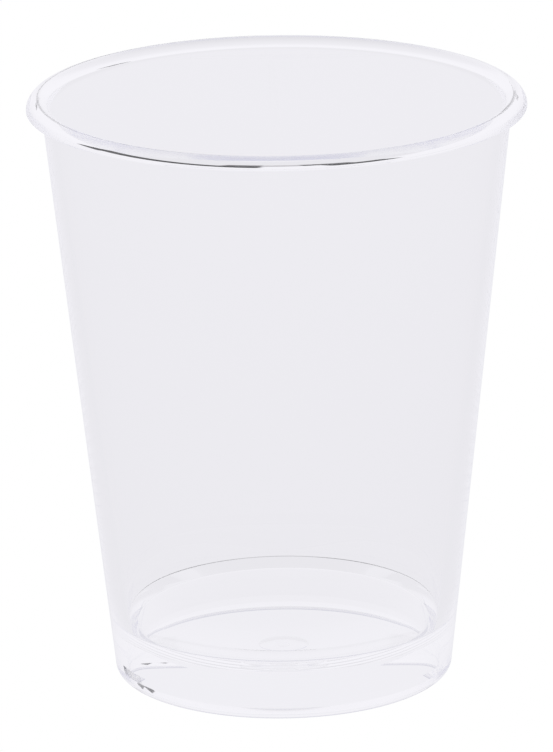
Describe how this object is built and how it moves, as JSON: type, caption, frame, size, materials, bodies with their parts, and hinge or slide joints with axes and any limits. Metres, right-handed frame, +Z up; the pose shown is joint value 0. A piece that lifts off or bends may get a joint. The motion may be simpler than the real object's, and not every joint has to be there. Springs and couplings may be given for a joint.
{
  "type": "disposable cup",
  "caption": "Clear moulded plastic disposable cup: a tapered wall with a rolled lip, a floor that dips in the middle and a hollow foot.",
  "frame": {"origin": "centre of the foot, on the surface that the cup stands on", "axes": "+Z up along the cup's axis, towards the open rim"},
  "size_m": [0.066, 0.066, 0.0794],
  "materials": {
    "clear_plastic": "clear moulded polystyrene, glossy inside and out, with a faint cool grey tint"
  },
  "bodies": {
    "root": {"cup": "clear_plastic"}
  },
  "joints": []
}
